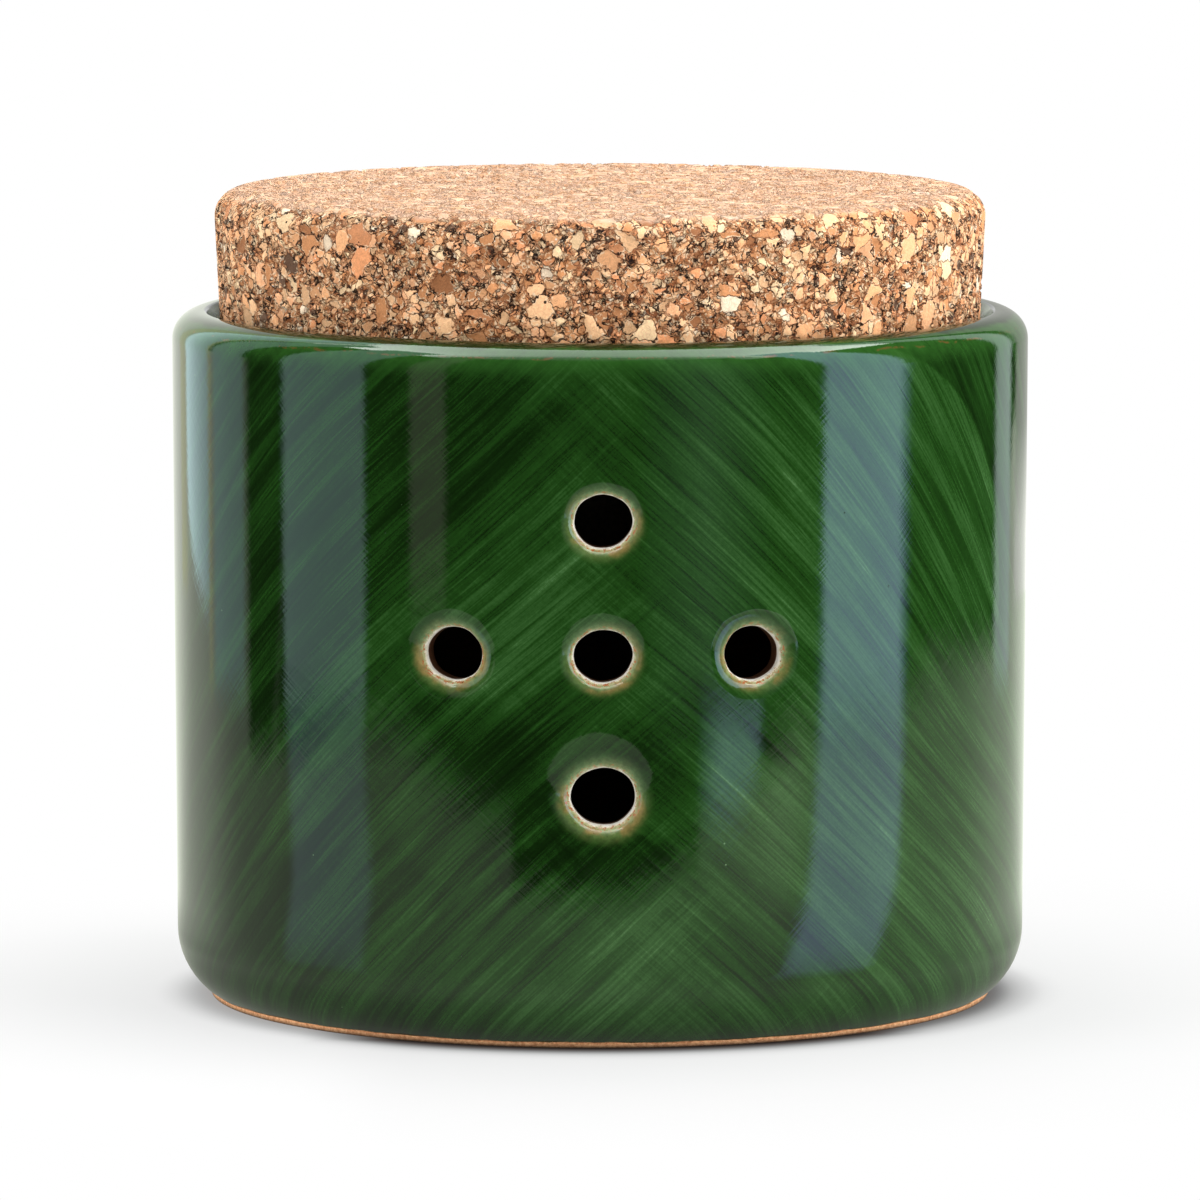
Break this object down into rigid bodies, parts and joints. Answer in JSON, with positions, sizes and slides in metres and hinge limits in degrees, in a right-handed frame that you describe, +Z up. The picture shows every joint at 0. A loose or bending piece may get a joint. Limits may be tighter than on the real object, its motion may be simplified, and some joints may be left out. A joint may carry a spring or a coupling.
{
  "type": "garlic keeper",
  "caption": "Round glazed ceramic jar with vents in its front wall, closed by a tapered cork stopper, for keeping garlic dry and aired.",
  "frame": {"origin": "centre of the round foot, on the surface that the jar stands on", "axes": "+Z up along the jar's axis, the vents face -Y, +X to the right of someone looking at the vents"},
  "size_m": [0.125, 0.125, 0.118],
  "materials": {
    "green_glaze": "gloss",
    "cork": "matte"
  },
  "bodies": {
    "jar": {"jar": "green_glaze"},
    "stopper": {"cork_stopper": "cork"}
  },
  "joints": [
    {"name": "stopper_lift", "type": "slide", "parent": "jar", "child": "stopper", "axis": [0, 0, 1], "range_m": [0, 0.1]}
  ]
}
